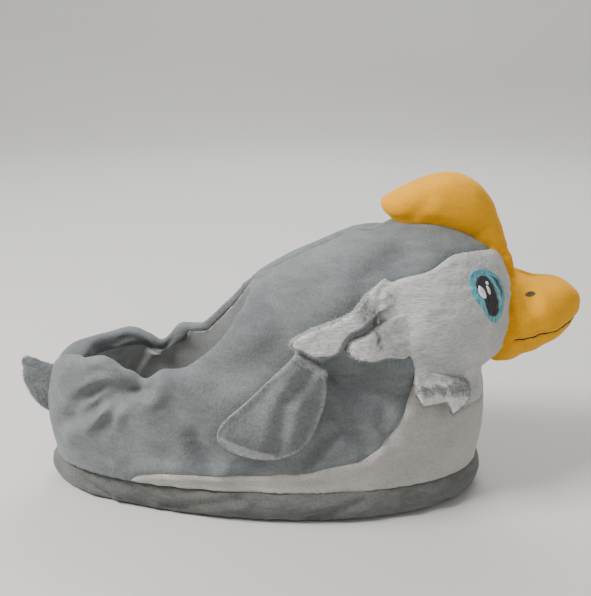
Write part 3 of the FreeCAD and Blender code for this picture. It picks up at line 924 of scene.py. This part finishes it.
def padded_form(name, nodes, voxel, hold_field=None, pressure=2.0, cap=1.5 * MM):
    """A stuffed form round CAD nodes: smoothed, then blown out a little between its seams."""
    form = union_of(name, nodes, voxel)
    relax(form, 6)
    co = coords(form)
    hold = near(hold_field(co), 2 * MM) if hold_field else None
    inflate(form, pressure, cap, hold)
    return form


def mouth_field(co):
    return seam_field(co, MOUTH, ((200, 50), (130, 50)))


def make_beak_and_crest(tree):
    """The beak and the crest are one padded form: the crest runs down into the top of the beak."""
    nodes = pieces_of("upper_beak", "lower_beak", "beak_stuffing", "crest_panel", "crest_stuffing")
    form = padded_form("beak_and_crest", nodes, 1.6 * MM, mouth_field)
    sink(form, tree, 4.0 * MM, 1.6 * MM)
    co = coords(form)
    x, z = co[:, 0] / MM, co[:, 2] / MM
    co[:, 2] -= 4.8 * MM * near(x - 164, 11) * smoothstep(116, 140, z) * (1 - smoothstep(148, 154, z))
    co[:, 2] += 3.6 * MM * near(x - 172, 15) * (1 - smoothstep(90, 110, z))
    set_coords(form, co)
    relax(form, 1)
    subdivide(form)
    co = coords(form)
    away = smoothstep(2 * MM, 9 * MM, distances(tree, co))
    crest = smoothstep(CREST_BASE - 3, CREST_BASE + 4, co[:, 2] / MM)
    mouth = np.where(co[:, 0] > 149 * MM, mouth_field(co), 1.0)
    shift = -0.75 * near(mouth, 1.1 * MM) + 0.3 * near(np.abs(mouth) - 3.4 * MM, 2.2 * MM)
    shift += crest * (-0.5 * near(co[:, 1], 1.0 * MM) + 0.2 * near(np.abs(co[:, 1]) - 3 * MM, 2 * MM))
    shift += crest * 0.12 * lumps(co, 3.5 * MM, 26) * near(co[:, 1], 4 * MM)
    shift += 0.5 * lumps(co, 18 * MM, 21) + 0.2 * lumps(co, 7 * MM, 22)
    shift += 0.4 * (1 - away) * lumps(co, 5 * MM, 23)
    push(form, shift + crease(co, BEAK_FOLDS) + crease(co, CREST_FOLDS))
    surface = surface_of(form)
    dress(form, "beak", "beak_plush", *nodes)
    make_mouth(surface)
    make_nostrils(surface)


def make_mouth(surface):
    """A line of dark stitches round the beak where it would open."""
    line = rounded(MOUTH, steps=20) * MM
    points = []
    for angle in np.radians(np.linspace(-91, 91, 260)):
        x = 175 * MM
        for _ in range(6):
            z = float(np.interp(x, line[:, 0], line[:, 1]))
            way = Vector((math.cos(angle), math.sin(angle), 0))
            place = hit(surface, Vector((MOUTH_MIDDLE, 0, z)) + way * 0.06, -way)
            x = place.x if place else x
        if place:
            points.append(place)
    path = np.array(points)
    along = np.concatenate([[0], np.cumsum(np.linalg.norm(np.diff(path, axis=0), axis=1))])
    steps = np.linspace(0, along[-1], int(along[-1] / (0.35 * MM)))
    path = np.stack([np.interp(steps, along, path[:, k]) for k in range(3)], axis=1)
    stitches = steps / STITCH
    radii = THREAD_RADIUS * (0.55 + 0.45 * np.sin(math.pi * (stitches % 1.0)) ** 0.4)
    path[:, 2] += 0.22 * MM * np.sin(stitches * math.pi)
    thread = tube("mouth_thread", path, radii)
    dress(thread, "stitch", "thread", "mouth_stitching")


# ---- embroidery ----
PATCH_ROUND = 0.7               # width over which an edge of stitching rounds off, millimetres
PATCH_DEPTH = 0.7 * MM          # how far it reaches into the cloth


def patch(name, tree, centre, outward, left, right, height, side, rows=44, columns=26):
    """A raised area of stitching between two edges, (across, up) in millimetres, on a curved surface."""
    outward = Vector(outward).normalized()
    across = Vector((0, 0, 1)).cross(outward).normalized()
    up = outward.cross(across)
    flip = Vector((1, side * -1, 1))
    a, b = evenly(left, rows) * MM, evenly(right, rows) * MM
    top, bottom = [], []
    for i in range(rows):
        for j in range(columns):
            share = j / (columns - 1)
            u, v = a[i] + (b[i] - a[i]) * share
            width = max(np.linalg.norm(b[i] - a[i]) / (2 * MM), 1e-3)
            edge = min(share, 1 - share) * 2 * width
            end = min(i, rows - 1 - i) * 0.5
            rise = height * math.sqrt(min(1.0, min(edge, end) / PATCH_ROUND))
            start = centre + across * u + up * v + outward * 0.03
            place = hit(tree, start * flip, (-outward) * flip)
            place = place * flip if place else centre + across * u + up * v
            top.append((place + outward * rise * MM) * flip)
            bottom.append((place - outward * PATCH_DEPTH) * flip)
    count = rows * columns
    faces = grid_faces(rows, columns)
    rim = list(range(columns)) + [i * columns + columns - 1 for i in range(1, rows)]
    rim += [(rows - 1) * columns + j for j in range(columns - 2, -1, -1)]
    rim += [i * columns for i in range(rows - 2, 0, -1)]
    under = [tuple(count + k for k in reversed(f)) for f in faces]
    walls = [(a, a + count, b + count, b) for a, b in zip(rim, rim[1:] + rim[:1])]
    obj = link(name, mesh_from(name, top + bottom, faces + under + walls))
    bm = gathered([obj.data])
    bmesh.ops.remove_doubles(bm, verts=bm.verts, dist=1e-6)
    bmesh.ops.recalc_face_normals(bm, faces=bm.faces)
    return write_back(bm, obj)


def ellipse_edges(centre, half, lean=0.0):
    """The left and right edges of an ellipse, from top to bottom."""
    turn = np.linspace(0, math.pi, 13)
    edges_found = []
    for sign in (-1, 1):
        u, v = sign * np.sin(turn) * half[0], np.cos(turn) * half[1]
        edges_found.append(np.stack([centre[0] + u + v * lean, centre[1] + v], axis=1))
    return edges_found


EYE_OUTWARD = (0.6123, -0.7313, 0.2991)
EYE_SHIFT = 1.6                 # across, millimetres
EYE_BREADTH = 1.07              # times the width of the outlines below
# edges of each area from top to bottom, across and up from the eye's middle, in millimetres
EYE_AREAS = (
    ("eye_iris", "teal", "eye_ring", 0.8,
     ((-5.4, 15.1), (-9.2, 14.2), (-11, 11.4), (-11.4, 6), (-10.8, 1), (-9, -3.5), (-6.4, -7.5), (-4, -11.8),
      (-0.8, -16.2), (2.5, -17.8)),
     ((-5.4, 15.1), (-0.7, 14.9), (4.6, 12.6), (9.2, 8.4), (11.8, 2.4), (12, -3), (10.2, -8.5), (7.2, -13.6),
      (5, -16.8), (2.5, -17.8))),
    ("eye_shade", "dark_teal", "eye_ring", 1.0,
     ((1.2, 11), (3.6, 7.8), (5.6, 3.6), (7.4, -1), (8.8, -5.5)),
     ((1.2, 11), (5.6, 9), (8.6, 4.6), (9.8, -0.6), (8.8, -5.5))),
    ("eye_sliver", "pale", "eye_ring", 1.05,
     ((0.8, 10.8), (3, 6), (4.4, 1), (5.2, -5), (5.6, -11.6)),
     ((0.8, 10.8), (4, 6.4), (6, 1.2), (7.4, -4.6), (5.6, -11.6))),
    ("eye_black", "black", "eye_pupil", 1.25,
     ((-3.4, 11.5), (-6.8, 10), (-8.6, 6.8), (-8.2, 4), (-6.4, 0.5), (-5.6, -3), (-5.2, -7), (-3.4, -11.2),
      (-0.6, -13.4), (1.8, -13.9)),
     ((-3.4, 11.5), (0.2, 10.2), (2.2, 6), (3.3, 1.7), (4.2, -2.4), (4.6, -8), (4.2, -11.6), (1.8, -13.9))),
)
LIGHT_RISE = 1.65               # height of the lights' stitching, millimetres
# middle, half width and half height, and lean
EYE_LIGHTS = (((-4.6, 2.2), (2.1, 4.2), -0.28), ((-0.3, 2.5), (1.4, 3), -0.25), ((0, 6.6), (1.3, 1.2), 0.0))


def make_eyes(tree):
    for word, side in SIDES:
        low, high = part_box("eye_iris_right")
        centre = (Vector(low) + Vector(high)) / 2
        for name, material, slot, height, left, right in EYE_AREAS:
            left, right = (np.array(edge, float) * (EYE_BREADTH, 1) + (EYE_SHIFT, 0)
                           for edge in (left, right))
            area = patch(f"{name}_{word}_stitching", tree, centre, EYE_OUTWARD, left, right, height, side)
            node = {"eye_iris": f"eye_iris_{word}", "eye_black": f"eye_pupil_{word}"}.get(name)
            dress(area, material, slot, *([node] if node else []))
        lights = [patch(f"light_{k}", tree, centre, EYE_OUTWARD, *ellipse_edges(*light), LIGHT_RISE,
                        side, 24, 14) for k, light in enumerate(EYE_LIGHTS)]
        dress(join(f"eye_lights_{word}", lights), "white", "eye_glint", f"eye_glints_{word}")


NOSTRIL_OUTWARD = (0.25, -0.93, 0.28)
NOSTRIL_HALF = (3.1, 1.5)       # half width and half height, millimetres
NOSTRIL_LEAN = 0.55
NOSTRIL_RISE = 0.5


def make_nostrils(surface):
    for word, side in SIDES:
        low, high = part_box("nostril_right")
        centre = (Vector(low) + Vector(high)) / 2
        edges_found = ellipse_edges((0, 0), NOSTRIL_HALF, NOSTRIL_LEAN)
        spot = patch(f"nostril_{word}_stitching", surface, centre, NOSTRIL_OUTWARD, *edges_found,
                     NOSTRIL_RISE, side, 20, 26)
        dress(spot, "nostril", "thread", f"nostril_{word}")


# ---- wings ----
WING_EDGE = ((36.9, 97.2), (36.5, 84), (32.5, 70), (26, 57), (16, 49.5), (4, 47), (-10, 49), (-21, 54.5),
             (-25.5, 62), (-23, 69), (-12, 80), (2, 94), (17.9, 110))
# nap that was brushed the other way
BRUSHED_SEAM = ((-30, 66), (-19, 60), (-7, 55), (6, 51), (10, 44))
BRUSHED_REST = ((10, 30), (-30, 30))
WING_RIM = 2.4                  # flat sewn edge, millimetres
WING_EDGE_PLUMP = 0.9           # half thickness at the edge
WING_ROOT_PLUMP = 2.4           # half thickness at the root
WING_PLUMP = 3.4                # half thickness at the middle
WING_FOLDS = ((30, 105, 17, 88, 1.8, 4.0), (14, 84, 9, 55, 1.9, 4.2), (25, 92, 26, 66, 0.7, 5.0),
              (4, 90, -12, 66, 0.6, 6.0))


def wing_depth(co, outline):
    """How far each point lies inside the wing's edge, in millimetres."""
    flat = co[:, [0, 2]]
    return np.where(inside_outline(flat, outline), distance_to_line(flat, outline[:-1]), 0) / MM


def make_wing(word, side):
    nodes = pieces_of(*(f"wing_{part}_{word}" for part in ("lining", "batting", "cover", "tab")))
    wing = union_of(f"wing_{word}", nodes, 1.5 * MM)
    relax(wing, 3)
    low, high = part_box(f"wing_cover_{word}")
    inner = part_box(f"wing_lining_{word}")
    middle = side * (abs(low[1] + high[1]) / 2 + abs(inner[0][1] + inner[1][1]) / 2) / 2
    co = coords(wing)
    outline = np.vstack([rounded(WING_EDGE[:-1]), WING_EDGE[-1:]]) * MM
    depth = wing_depth(co, outline)
    root = wing_root_share(co)
    plump = WING_EDGE_PLUMP + (WING_PLUMP - WING_EDGE_PLUMP) * smoothstep(WING_RIM, 14, depth)
    plump -= 0.45 * near(depth - WING_RIM, 0.8)
    plump = plump * (1 - root) + WING_ROOT_PLUMP * root
    away = (co[:, 1] - middle) / (3 * MM)
    y = middle + np.clip(away, -1, 1) * plump * MM
    co[:, 1] = np.where(root > 0.98, co[:, 1], y * (1 - root) + co[:, 1] * root)
    set_coords(wing, co)
    relax(wing, 2)
    inflate(wing, 1.5, 1.2 * MM, np.maximum(1 - smoothstep(WING_RIM, WING_RIM + 3, depth), root))
    subdivide(wing)
    co = coords(wing)
    depth = wing_depth(co, outline)
    body_of_wing = smoothstep(2, 6, depth)
    folds = crease(co, WING_FOLDS, (0.03, 0.1)) * body_of_wing
    shift = 0.5 * lumps(co, 16 * MM, 31) * body_of_wing
    shift += 0.25 * lumps(co, 4 * MM, 32) * near(depth - WING_RIM, 2.5)
    push(wing, shift)
    co = coords(wing)
    sway = np.abs(0.84 * np.sin(co[:, 0] / MM / 15 + 1)) * smoothstep(95, 60, co[:, 2] / MM)
    co[:, 1] += side * (folds + sway) * MM
    set_coords(wing, co)
    rim = near(depth, 2.2)
    brushed = smoothstep(-0.4, 0.4, seam_field(co, BRUSHED_SEAM, BRUSHED_REST) / MM)
    keep_values(wing, "pale", np.maximum(rim * 0.8, brushed))
    add_pile(wing, 3000, 1.6 * MM, 0.16 * MM, (-0.5, side * 0.2, -0.6), 0.4, rim, 41)
    dress(wing, "wing", "body_plush", *nodes, body=None)
    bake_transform(wing, "slipper", f"{word}_wing", start=(31.5 * MM, side * 0.065, 110 * MM),
             end=(24.5 * MM, side * 0.065, 99.5 * MM))


def wing_root_share(co):
    """1 where the wing is sewn to the body and 0 where it hangs free."""
    down = (co[:, 0] / MM - 27.4) * -0.56 + (co[:, 2] / MM - 103.6) * -0.83
    return 1 - smoothstep(-1.5, 5.0, down)


# ---- cheek and chin tufts ----
# CAD node, direction of its pile, x and z of root and of free end, and how deep the root lies
TUFTS = (
    ("upper_tuft", (-0.92, -0.39), (84, 146), (52, 131), 2.3),
    ("lower_tuft", (-0.97, -0.12), (88, 120), (60, 117), 1.4),
    ("chin_tuft", (0.1, -1.0), (106, 96), (104, 82), 1.0),
)


def make_tuft(tree, name, comb, root, free, sunk, word, side):
    """A lobe of long pile that grows out of the cheek: its root lies inside the cheek's surface."""
    tuft = union_of(f"{name}_{word}_lobe", [f"{name}_{word}"], 1.1 * MM)
    relax(tuft, 3)
    co = coords(tuft)
    way = np.array(free, float) - root
    share = np.clip(((co[:, [0, 2]] / MM - root) @ way) / (way @ way), 0, 1)
    for i in np.nonzero(share < 0.99)[0]:
        place = hit(tree, (co[i, 0], side * 0.2, co[i, 2]), (0, -side, 0))
        if place is not None:
            rise = abs(co[i, 1]) - TUFT_MIDDLE[name](co[i])
            goal = place.y + side * (rise * (0.2 + 0.8 * share[i]) + (5.5 * share[i] - sunk) * MM)
            co[i, 1] += (goal - co[i, 1]) * float(1 - smoothstep(0.6, 1.0, share[i]))
    set_coords(tuft, co)
    relax(tuft, 14)
    subdivide(tuft)
    co = coords(tuft)
    turn = math.atan2(comb[1], comb[0])
    along = (co[:, 0] * math.cos(turn) + co[:, 2] * math.sin(turn)) / 3.2
    cross = -co[:, 0] * math.sin(turn) + co[:, 2] * math.cos(turn)
    locks = lumps(np.stack([along, cross, co[:, 1] * 0.5], axis=1), 2.8 * MM, 51)
    fine = lumps(np.stack([along, cross, co[:, 1]], axis=1), 1.1 * MM, 52)
    push(tuft, 0.3 * locks + 0.12 * fine)
    facing = np.abs(normals(tuft)[:, 1])
    edge = 1 - smoothstep(0.35, 0.75, facing)
    share_of_tip = smoothstep(0.3, 0.8, ((co[:, [0, 2]] / MM - root) @ way) / (way @ way))
    keep_values(tuft, "pale", share_of_tip)
    add_pile(tuft, 7000, 2.6 * MM, 0.2 * MM, (comb[0], 0, comb[1]), 0.25, 0.02 + edge * share_of_tip, 61)
    dress(tuft, "tuft", "face_plush", f"{name}_{word}", body=None)
    y = side * abs(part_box(f"{name}_{word}")[0][1])
    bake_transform(tuft, "slipper", f"{word}_{name}", start=(root[0] * MM, y, root[1] * MM),
             end=(free[0] * MM, y, free[1] * MM))


def cheek_plane(co):
    """The middle of the cheek tufts' plates: they lean out by 5 degrees towards their tips."""
    return (54.5 + (94.0 - co[0] / MM) * math.tan(math.radians(5)) + 2.0) * MM


def chin_plane(co):
    return (57.0 - (co[0] / MM - 88.0) * 13.0 / 34.0 + 2.1) * MM


TUFT_MIDDLE = {"upper_tuft": cheek_plane, "lower_tuft": cheek_plane, "chin_tuft": chin_plane}


# ---- tail ----
# x, z, half height and half width in millimetres
TAIL = ((-120, 58, 17, 8.5), (-130, 60, 18, 8.0), (-139, 64.5, 16, 7.2), (-146.5, 72, 10.5, 5.8),
        (-151.5, 79.5, 5.6, 4.0), (-154.2, 84, 2.4, 2.0))
TAIL_RINGS, TAIL_AROUND = 22, 28


def make_tail():
    line = evenly(TAIL, TAIL_RINGS)
    ahead = np.gradient(line[:, :2], axis=0)
    ahead /= np.linalg.norm(ahead, axis=1)[:, None]
    turn = np.arange(TAIL_AROUND) / TAIL_AROUND * 2 * math.pi
    verts = []
    for (x, z, high, wide), (dx, dz) in zip(line, ahead):
        for angle in turn:
            up = math.sin(angle) * high
            verts.append((x - dz * up, math.cos(angle) * wide, z + dx * up))
    ends = [tuple(range(TAIL_AROUND)), tuple(range(len(verts) - TAIL_AROUND, len(verts)))[::-1]]
    faces = grid_faces(TAIL_RINGS, TAIL_AROUND, closed_columns=True) + ends
    tail = link("tail_cloth", mesh_from("tail_cloth", np.array(verts) * MM, faces))
    bm = gathered([tail.data])
    bmesh.ops.recalc_face_normals(bm, faces=bm.faces)
    write_back(bm, tail)
    remesh(tail, 1.2 * MM)
    relax(tail, 3)
    subdivide(tail)
    co = coords(tail)
    push(tail, 0.7 * lumps(co, 9 * MM, 71) + 0.25 * lumps(co, 3 * MM, 72) - 0.5 * near(co[:, 1], 1.0 * MM))
    add_pile(tail, 5000, 2.2 * MM, 0.13 * MM, (-0.5, 0, 0.7), 0.6, np.ones(len(coords(tail))), 73)
    dress(tail, "body", "body_plush", "tail_skin", "tail_stuffing", body=None)
    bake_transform(tail, "slipper", "tail", start=(-139 * MM, 0, 64 * MM), end=(-146 * MM, 0, 70 * MM))


# ---- stage ----
FOCAL = 812.0                # in pixels of a 596-pixel frame height
FRAME_HEIGHT = 596.0
SENSOR = 36.0
CAMERA_PLACE = (19.7 * MM, -480 * MM, 288 * MM)
CAMERA_DOWN = math.radians(18.9)


def make_camera():
    data = bpy.data.cameras.new("camera")
    data.sensor_width = SENSOR
    data.lens = FOCAL * SENSOR / FRAME_HEIGHT
    data.clip_start = 0.01
    data.clip_end = 50
    obj = bpy.data.objects.new("camera", data)
    obj.location = CAMERA_PLACE
    obj.rotation_euler = (math.pi / 2 - CAMERA_DOWN, 0, 0)
    bpy.context.scene.collection.objects.link(obj)
    bpy.context.scene.camera = obj


def make_floor():
    """A round table top whose edge curves up all round into a pale backdrop."""
    flat, wall, rise = 1.6, 1.5, 5.0
    bend = [(flat + wall * math.sin(a), wall - wall * math.cos(a)) for a in np.linspace(0, math.pi / 2, 14)]
    profile = [(0.02, 0.0), (0.4, 0.0)] + bend + [(flat + wall, rise)]
    count = 72
    verts = [(r * math.cos(2 * math.pi * k / count), r * math.sin(2 * math.pi * k / count), z)
             for r, z in profile for k in range(count)]
    faces = grid_faces(len(profile), count, closed_columns=True) + [tuple(range(count))]
    floor = smooth_shading(link("floor", mesh_from("floor", verts, faces)))
    n = Nodes("floor_paint")
    soft = n.noise(3, 2)
    floor.data.materials.append(n.finish(n.mix(soft, (0.56, 0.552, 0.54), (0.60, 0.593, 0.582)), 0.75))


def make_light(name, place, size, power, colour=(1, 1, 1), target=(0, 0, 0.08)):
    data = bpy.data.lights.new(name, "AREA")
    data.shape = "RECTANGLE"
    data.size, data.size_y = size
    data.energy = power
    data.color = colour
    obj = bpy.data.objects.new(name, data)
    obj.location = place
    obj.rotation_mode = "QUATERNION"
    obj.rotation_quaternion = (Vector(target) - Vector(place)).to_track_quat("-Z", "Y")
    bpy.context.scene.collection.objects.link(obj)


def make_lights():
    make_light("key", (-0.9, -0.35, 1.1), (0.5, 0.4), 34, (1, 0.985, 0.96))
    make_light("fill", (1.2, -0.8, 0.7), (0.9, 0.9), 4, (0.95, 0.98, 1))
    make_light("rim", (0.3, 1.1, 1.2), (1.2, 0.6), 14)
    make_light("backdrop", (0, 1.2, 2.2), (1.5, 0.5), 30, target=(0, 3.1, 0.9))
    world = bpy.data.worlds.new("studio")
    world.use_nodes = True
    background = world.node_tree.nodes["Background"]
    background.inputs[0].default_value = (0.88, 0.89, 0.91, 1)
    background.inputs[1].default_value = 0.72
    bpy.context.scene.world = world


make_camera()
make_floor()
make_lights()
body_surface = make_body()
make_band()
make_beak_and_crest(body_surface)
make_eyes(body_surface)
for bird_side, y_sign in SIDES:
    make_wing(bird_side, y_sign)
    for tuft in TUFTS:
        make_tuft(body_surface, *tuft, bird_side, y_sign)
make_tail()
